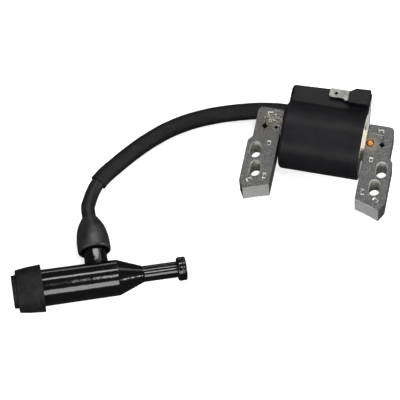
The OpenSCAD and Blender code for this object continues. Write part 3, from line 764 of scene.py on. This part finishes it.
def make_core():
    """The two legs and the crossbar that lies in their notches."""
    slots = [slot_contour(x, y) for x, y in SLOTS]
    right = make_stack("right_leg_stack", leg_contour(), slots, STAMPS, False, 11)
    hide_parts("right_pole_leg")
    left = make_stack("left_leg_stack", leg_contour(), slots, STAMPS, True, 12)
    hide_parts("left_pole_leg")
    key = KEY_HALF
    bar = [(BAR_END, BAR_Y - BAR_HALF, 0.2), (BAR_END, KEY_Y - key, 0), (BAR_END - key, KEY_Y, 0.1),
           (BAR_END, KEY_Y + key, 0), (BAR_END, BAR_Y + BAR_HALF, 0.2),
           (-BAR_END, BAR_Y + BAR_HALF, 0.2), (-BAR_END, KEY_Y + key, 0), (key - BAR_END, KEY_Y, 0.1),
           (-BAR_END, KEY_Y - key, 0), (-BAR_END, BAR_Y - BAR_HALF, 0.2)]
    wells = [arc(side * RIVET_X, RIVET_Y, COUNTERSINK, 0, 350, 35) for side in (-1, 1)]
    crossbar = make_stack("crossbar_stack", rounded(bar), wells, [], False, 13, STACK - 0.15)
    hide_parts("core_crossbar")


make_core()


# ---------------------------------------------------------------- rivets

def upright(cx, cy):
    """Places a turned profile about a vertical axis."""
    return lambda along, radius, a: (cx + radius * math.cos(a), cy + radius * math.sin(a), along)


def make_rivets():
    """The copper rivet's hammered head in its well, its ring painted dark as shade, and the hollow steel
    rivet.
    """
    well = COUNTERSINK - 0.03
    ground = rounded([(12.2, 0.01, 0), (12.2, well, 0), (12.25, well, 0), (12.3, 1.75, 0.2),
                      (13.1, 1.60, 0.5), (13.55, 0.9, 0.8), (13.62, 0.01, 0)], 4, closed=False)
    shank = [(0.02, 0.01), (0.02, 1.27), (12.19, 1.27)]
    rings = lathe(shank + ground, upright(RIVET_X, RIVET_Y), 48)
    for ring in rings:
        for k, (x, y, z) in enumerate(ring):
            if z > 12.4:
                dent = 0.10 * noise.noise(Vector((x * 1.1, y * 1.1, 5.0)))
                ring[k] = (x, y, z + dent - 0.08)
    piece = make_piece("ground_rivet_head", "coil", *loft(rings), COPPER)
    piece.data.materials.append(WELL_SHADE)
    # Faces outside the head, in the well's ring, take the painted shade.
    for face in piece.data.polygons:
        away = math.hypot(face.center.x / MM - RIVET_X, face.center.y / MM - RIVET_Y)
        face.material_index = 1 if away > RIVET_HEAD else 0
    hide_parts("ground_rivet")

    tube = [(0.02, 0.76), (0.02, 1.27), (12.2, 1.27), (12.25, well), (12.55, well)]
    tube += rounded([(12.6, 1.75, 0.1), (13.15, 1.55, 0.25), (13.2, 1.0, 0.2), (12.6, 0.76, 0.1)],
                    4, closed=False)
    rings = lathe(tube, upright(-RIVET_X, RIVET_Y), 48)
    piece = make_piece("core_rivet_head", "coil", *loft(rings, wrap=True), DULL)
    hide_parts("core_rivet")


make_rivets()


# ---------------------------------------------------------------- housing

SHELL_RADIUS = 17.0
SHELL_Y = BAR_Y - 0.75
SHELL_Z = STACK / 2
FLOOR_Z = SHELL_Z - SHELL_RADIUS
SHELF_Z = 13.0
SHELF_REAR_Y = 45.6
FOOT_REAR_Y = 39.6
SKEW = math.tan(math.radians(2.4))
LEFT_X = -20.2
RIGHT_X = 20.0
WALL = 1.2
END_ROUND = 1.9
BLOCK_RIGHT_X = RIGHT_X - 0.4
BLOCK_LEFT_X = BLOCK_RIGHT_X - 10.8


def housing_section(x, inset):
    """Section of the housing at x, in (y, z), moved in by a distance. Always the same count."""
    back = (x - RIGHT_X) * SKEW
    slope = (SHELF_REAR_Y - FOOT_REAR_Y) / (SHELF_Z - FLOOR_Z)
    lean = inset * math.sqrt(1 + slope * slope)
    top = SHELF_Z - inset
    low = FLOOR_Z + inset
    radius = SHELL_RADIUS - inset
    rear_top = SHELF_REAR_Y + back - lean - slope * inset
    rear_low = FOOT_REAR_Y + back - lean + slope * inset
    crease = math.degrees(math.asin((top - SHELL_Z) / radius))
    crease_y = SHELL_Y + radius * math.cos(math.radians(crease))
    corner = rounded([(SHELL_Y, low, 0), (rear_low, low, max(0.3, 1.6 - inset)),
                      (rear_top, top, max(0.2, 0.4 - inset)), (crease_y + 1.2, top, 0)], 8, closed=False)
    front = arc(SHELL_Y, SHELL_Z, radius, crease + 2.2, 270, 72)
    blend_start = Vector(corner[-1])
    blend_end = Vector(front[0])
    elbow = Vector((crease_y, top))
    blend = []
    for k in range(1, 8):
        t = k / 8
        spot = blend_start.lerp(elbow, t).lerp(elbow.lerp(blend_end, t), t)
        blend.append((spot.x, spot.y))
    return corner[1:] + blend + front


def housing_ring(x, inset):
    return [(x, y, z) for y, z in housing_section(x, inset)]


def terminal_block():
    """The raised block that holds the tab, with softened edges."""
    x0, x1, rear = BLOCK_LEFT_X, BLOCK_RIGHT_X, SHELF_REAR_Y
    points = rounded([(x0, rear - 8.8, 1.2), (x1, rear - 8.8, 0.5), (x1, rear - 0.05, 0.5),
                      (x0 + 3.4, rear - 0.05 - 7.4 * SKEW, 0.8), (x0, rear - 2.7, 1.2)], 6)
    steps = inward(points)
    rings = []
    for rise, inset in ((-0.9, 0), (3.6, 0.02), (3.85, 0.12), (4.0, 0.35)):
        rings.append([(x + inset * sx, y + inset * sy, SHELF_Z + rise)
                      for (x, y), (sx, sy) in zip(points, steps)])
    return loft(rings)


def make_housing():
    """The moulding: rounded at the left, along to its open right end, and back along its inside."""
    rings = []
    for k in range(8, -1, -1):
        a = math.pi / 2 * k / 8
        rings.append(housing_ring(LEFT_X + END_ROUND * (1 - math.sin(a)),
                                  END_ROUND * (1 - math.cos(a))))
    spans = 20
    first = LEFT_X + END_ROUND
    rings += [housing_ring(first + (BLOCK_RIGHT_X - first) * k / spans, 0) for k in range(1, spans + 1)]
    rings += [housing_ring(RIGHT_X - 0.1, 0.06), housing_ring(RIGHT_X, 0.2), housing_ring(RIGHT_X, 0.65),
              housing_ring(RIGHT_X - 0.15, 0.8), housing_ring(RIGHT_X - 3, WALL),
              housing_ring(LEFT_X + WALL, WALL)]
    housing = make_piece("housing_shell", "coil", *joined(loft(rings), terminal_block()), HOUSING,
                         math.radians(20))
    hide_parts("coil_housing")


make_housing()


def make_resin():
    """Resin in the open end, with a meniscus that climbs the wall and small sinks."""
    face_x = RIGHT_X - 0.25
    snug = WALL + 0.05
    edge = housing_ring(face_x - 0.1, snug + 2)
    rings = [housing_ring(RIGHT_X - 7, snug), housing_ring(RIGHT_X - 3, snug),
             housing_ring(face_x + 0.05, 0.88), housing_ring(face_x, snug + 0.6), edge]
    for share in (0.12, 0.25, 0.4, 0.55, 0.7, 0.85, 0.97):
        ring = []
        for _, y, z in edge:
            y += share * (BAR_Y + 2 - y)
            z += share * (SHELL_Z - 1 - z)
            sink = 0.25 * noise.noise(Vector((y * 0.3, z * 0.3, 2.0)))
            ring.append((face_x + sink - 0.15, y, z))
        rings.append(ring)
    resin = make_piece("potting_fill", "coil", *loft(rings), RESIN)
    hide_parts("potting_resin")


make_resin()


# ---------------------------------------------------------------- kill terminal

TAB_Z = SHELF_Z + 1.8
TAB_Y = SHELF_REAR_Y - 4
TAB_X0 = BLOCK_LEFT_X - 9.8
TAB_X1 = BLOCK_LEFT_X + 1.5
TAB_HALF = 2.4
TAB_THICK = 0.5
TAB_HOLE = 0.8


def make_tab():
    """The push-on tab with its hole, its shoulder held in the terminal block."""
    outer = rounded([(TAB_X0, TAB_Y - TAB_HALF, 1.2), (TAB_X1 - 3.6, TAB_Y - TAB_HALF, 0.4),
                     (TAB_X1 - 3.4, TAB_Y - TAB_HALF - 0.85, 0.4), (TAB_X1, TAB_Y - TAB_HALF - 0.85, 0),
                     (TAB_X1, TAB_Y + TAB_HALF, 0), (TAB_X0, TAB_Y + TAB_HALF, 1.2)], 6)
    hole = arc(TAB_X0 + 3.5, TAB_Y, TAB_HOLE, 0, 345, 23)[::-1]
    work = bmesh.new()
    bottoms, tops = [], []
    for contour in (outer, hole):
        steps = inward(contour)
        previous = None
        for z, inset in ((0, 0.10), (0.08, 0), (TAB_THICK - 0.08, 0), (TAB_THICK, 0.10)):
            ring = [work.verts.new((x + inset * sx, y + inset * sy, TAB_Z + z))
                    for (x, y), (sx, sy) in zip(contour, steps)]
            if previous:
                for i in range(len(ring)):
                    j = (i + 1) % len(ring)
                    work.faces.new((previous[i], previous[j], ring[j], ring[i]))
            else:
                bottoms.append(ring)
            previous = ring
        tops.append(previous)
    for rings in (bottoms, tops):
        edges = [work.edges.get((r[i], r[(i + 1) % len(r)])) for r in rings for i in range(len(r))]
        bmesh.ops.triangle_fill(work, use_beauty=True, edges=edges)
    verts = [tuple(v.co) for v in work.verts]
    work.verts.index_update()
    faces = [tuple(v.index for v in f.verts) for f in work.faces]
    work.free()
    tab = make_piece("kill_tab", "coil", verts, faces, TINNED)
    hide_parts("kill_terminal")


make_tab()


# ---------------------------------------------------------------- plug cap

CAP_DIP = math.radians(4.8)  # how far the grip end points down
LEAD_END = 11.0  # from the cap's axis to the end of the lead
STEM_AXIS = (Vector(LEAD_ROUTE[-2]) - Vector(LEAD_ROUTE[-1])).normalized()
CAP_ORIGIN = Vector(LEAD_ROUTE[-1]) / MM - LEAD_END * STEM_AXIS
CAP_LEVEL = STEM_AXIS.cross(Vector((0, 0, 1))).normalized()
CAP_AXIS = math.cos(CAP_DIP) * CAP_LEVEL - math.sin(CAP_DIP) * CAP_LEVEL.cross(STEM_AXIS)
CAP_UP = CAP_AXIS.cross(STEM_AXIS)


def on_cap(x, y, z):
    """A point given along the cap's axis, along its stem and upwards."""
    return CAP_ORIGIN + x * CAP_AXIS + y * STEM_AXIS + z * CAP_UP


def about_cap(along, radius, a):
    return on_cap(along, radius * math.cos(a), radius * math.sin(a))


def about_stem(along, radius, a):
    return on_cap(radius * math.cos(a), along, radius * math.sin(a))


CAP_RADIUS = 9.2
SHOULDER_RADIUS = 8.9
SHOULDER_X = 9.5
NECK_X = 22.1
NECK_RADIUS = 4.0
BEAD_X = 39.0
BEAD_END = 43.5
MOUTH_X = -39.4
STEM_RADIUS = 5.6
STEM_END = 26.0
SEAL_LENGTH = 12.8
BOOT_RIM = 15.8
BOOT_LENGTH = 19.0


def cap_radius(x):
    """The body's radius between its mouth and its shoulder."""
    share = (x - MOUTH_X) / (SHOULDER_X - MOUTH_X)
    return CAP_RADIUS + (SHOULDER_RADIUS - CAP_RADIUS) * min(1.0, share)


def stem_shell():
    """The stem with its fillet where it grows out of the body, hollow at its end."""
    count = 96
    fillet = 1.3
    rings = []
    for k in range(9):
        t = math.pi / 2 * k / 8
        radius = STEM_RADIUS + 0.25 + fillet * (1 - math.sin(t))
        ring = []
        for i in range(count):
            a = 2 * math.pi * i / count
            x = radius * math.cos(a)
            z = radius * math.sin(a)
            surface = math.sqrt(max(0.1, cap_radius(x) ** 2 - z * z))
            ring.append(on_cap(x, surface - 0.15 + (fillet + 0.15) * (1 - math.cos(t)), z))
        rings.append(ring)
    shaft = [(12.0, STEM_RADIUS + 0.12), (STEM_END - 0.5, STEM_RADIUS), (STEM_END, STEM_RADIUS - 0.5),
             (STEM_END, 3.9), (STEM_END - 0.4, 3.6), (LEAD_END, 3.6)]
    rings += lathe(shaft, about_stem, count)
    return loft(rings, caps=False)


def make_cap():
    """The hard cap: barrel, cone, grip with its bead, plug socket and stem."""
    outer = rounded([(MOUTH_X, CAP_RADIUS, 0.3), (SHOULDER_X, SHOULDER_RADIUS, 2.2),
                     (NECK_X, NECK_RADIUS, 3.0), (BEAD_X - 0.1, NECK_RADIUS, 0.5), (BEAD_X, 5.9, 1.1),
                     (BEAD_X + 2.55, 5.98, 0.5), (BEAD_X + 2.75, 5.68, 0.12),
                     (BEAD_X + 2.95, 5.98, 0.25), (BEAD_END, 5.9, 0.9), (BEAD_END, 0.02, 0)],
                    8, closed=False)
    bore = [(-20.5, 0.02), (-20.5, 4.35), (-20.9, 4.4), (-20.9, 6.0), (MOUTH_X + 0.4, 6.0),
            (MOUTH_X, 6.4), (MOUTH_X, CAP_RADIUS - 0.4)]
    profile = bore + outer
    dense = []
    for (x0, r0), (x1, r1) in zip(profile, profile[1:]):
        parts = max(1, round(math.hypot(x1 - x0, r1 - r0) / 2.0))
        dense += [(x0 + (x1 - x0) * k / parts, r0 + (r1 - r0) * k / parts) for k in range(parts)]
    dense.append(profile[-1])
    body = loft(lathe(dense, about_cap, 128))
    cap = make_piece("cap_shell", "plug_cap", *joined(body, stem_shell()), GLOSS, math.radians(40))
    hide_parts("plug_cap_body")
    return cap


def make_seal():
    """The rubber collar on the mouth, with its narrower lip in front."""
    x0 = MOUTH_X - 1.2
    x1 = x0 + SEAL_LENGTH
    profile = rounded([(x0 - 2.3, 6.3, 0.25), (x0 - 2.3, 8.2, 0.6), (x0 - 0.2, 8.3, 0.3),
                       (x0, 10.6, 0.5), (x0 + 5.5, 11.35, 4), (x1, 11.88, 0.35),
                       (x1, CAP_RADIUS + 0.05, 0.2), (MOUTH_X - 0.05, CAP_RADIUS + 0.05, 0.1),
                       (MOUTH_X - 0.05, 6.3, 0.1)], 6)
    rings = lathe(profile, about_cap, 128)
    seal = make_piece("plug_seal_rubber", "plug_cap", *loft(rings, wrap=True), SEAL, math.radians(45))
    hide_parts("plug_seal")
    return seal


def make_boot():
    """The rubber boot, from its rim on the stem to its neck on the lead, and back along its inside."""
    y0, y1 = BOOT_RIM, BOOT_RIM + BOOT_LENGTH
    outer = [(y0, 7.4), (y0 + 0.35, 8.1), (y0 + 1.4, 8.28), (y0 + 4, 8.25), (y0 + 7.0, 8.12),
             (y0 + 11.0, 7.5), (y0 + 14.0, 6.6), (y0 + 16.5, 5.35), (y0 + 18.0, 4.5),
             (y1 - 0.25, 4.05), (y1, 3.8)]
    inner = [(y1, 3.56), (y1 - 5, 3.58), (y1 - 7.5, 5.95), (y0 + 4, 6.3), (y0 + 0.6, 6.9),
             (y0, 7.1)]
    smooth = []
    for points in (outer, inner):
        route = [(a, r, 0.0) for a, r in points]
        smooth += [(p.x, p.y) for p in smooth_path(route, 0.45)]
    rings = lathe(smooth, about_stem, 96)
    boot = make_piece("stem_boot_rubber", "boot", *loft(rings, wrap=True), BOOT, math.radians(50))
    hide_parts("stem_boot")
    return boot


CAP_PIECE = make_cap()
SEAL_PIECE = make_seal()
BOOT_PIECE = make_boot()


# ---------------------------------------------------------------- inner parts keep their CAD shape

INNER = {
    "primary_bobbin": BOBBIN, "primary_winding": WIRE, "secondary_bobbin": BOBBIN, "secondary_winding": WIRE,
    "circuit_board": BOARD, "switch_transistor": DARK_PLASTIC, "board_resistors": CERAMIC,
    "output_terminal": BRASS, "ht_lead_conductor": TINNED, "lead_screw": BRASS,
    "suppressor_resistor": CERAMIC, "resistor_spring": STEEL, "contact_retainer": BRASS,
    "plug_contact": BRASS}
for name, material in INNER.items():
    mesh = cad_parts[name].data
    mesh.materials.clear()
    mesh.materials.append(material)


# ---------------------------------------------------------------- stage and lights

STAGE_HALF = 3.0
BACKDROP_TOP = 2.2
BACKDROP_SIDES = 48


def make_stage():
    """A pale floor and a round backdrop. The object doesn't mirror them, so its black stays black."""
    half, sides = STAGE_HALF, BACKDROP_SIDES
    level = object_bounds()[0][2]
    m = Shader("floor_white", roughness=0.9, Base_Color=(0.84, 0.84, 0.84, 1),
               Emission_Color=(1, 1, 1, 1), Emission_Strength=0.62)
    floor = [(-half, -half, level), (half, -half, level), (half, half, level), (-half, half, level)]
    wall = [(half * math.cos(2 * math.pi * i / sides), half * math.sin(2 * math.pi * i / sides), z)
            for z in (level, BACKDROP_TOP) for i in range(sides)]
    panels = [(i, sides + i, sides + (i + 1) % sides, (i + 1) % sides) for i in range(sides)]
    for name, verts, faces in (("floor", floor, [(0, 1, 2, 3)]), ("backdrop", wall, panels)):
        mesh = bpy.data.meshes.new(name)
        mesh.from_pydata(verts, [], faces)
        mesh.materials.append(m.material)
        piece = bpy.data.objects.new(name, mesh)
        scene.collection.objects.link(piece)
        piece.visible_glossy = False
        piece.visible_diffuse = False


def area_light(name, place, target, width, height, power, axis=None):
    """A rectangular soft light. axis, if given, is the direction of its width."""
    data = bpy.data.lights.new(name, "AREA")
    data.shape = "RECTANGLE"
    data.size = width
    data.size_y = height
    data.energy = power
    light = bpy.data.objects.new(name, data)
    away = (Vector(place) - Vector(target)).normalized()
    side = Vector(axis) if axis else Vector((0, 0, 1)).cross(away)
    side = (side - side.dot(away) * away).normalized()
    turn = Matrix((side, away.cross(side), away)).transposed().to_4x4()
    light.matrix_world = Matrix.Translation(place) @ turn
    scene.collection.objects.link(light)


def strip_light(name, axis, tilt, width, height, power, shift):
    """A light that shows as a strip along the cap or its stem, tilt degrees off the middle of it."""
    view = direction(VIEW_AZIMUTH, VIEW_ELEVATION)
    across = (view - view.dot(axis) * axis).normalized()
    normal = Matrix.Rotation(math.radians(tilt), 3, axis) @ across
    away = 2 * normal.dot(view) * normal - view
    centre = CAP_ORIGIN * MM
    place = centre + STRIP_DISTANCE * away + shift * axis
    area_light(name, place, centre, width, height, power, axis)


STRIP_DISTANCE = 0.9
LIGHT_CENTRE = Vector((-0.03, 0.0, 0.0))
# Place from the centre, width, height, watts.
AREA_LIGHTS = {
    "key": ((-0.60, -0.30, 1.1), 0.9, 0.6, 3.0),
    "front": ((-0.45, -1.15, 0.50), 1.2, 0.35, 9.5),
    "rear": ((0.2, 1.0, 0.7), 1.0, 0.3, 1.5),
    "right": ((1.1, -0.1, 0.40), 0.5, 0.35, 10)}
# Axis, tilt, width, height, watts, shift along the axis.
STRIP_LIGHTS = {
    "strip_narrow": (CAP_AXIS, -8, 0.18, 0.22, 1.3, 0.055),
    "strip_broad": (CAP_AXIS, 15, 0.26, 0.44, 2.4, 0.0),
    "strip_rim": (CAP_AXIS, -56, 0.26, 0.20, 0.30, 0.0),
    "strip_stem": (STEM_AXIS, 7, 0.16, 0.8, 3.6, 0.0)}


def make_lights():
    world = bpy.data.worlds.new("studio")
    world.use_nodes = True
    background = world.node_tree.nodes["Background"]
    background.inputs["Color"].default_value = (1.0, 1.0, 1.0, 1)
    background.inputs["Strength"].default_value = 0.07
    scene.world = world
    for name, (away, *rest) in AREA_LIGHTS.items():
        area_light(name, LIGHT_CENTRE + Vector(away), LIGHT_CENTRE, *rest)
    for name, values in STRIP_LIGHTS.items():
        strip_light(name, *values)


make_stage()
make_lights()
scene.view_settings.view_transform = "Standard"
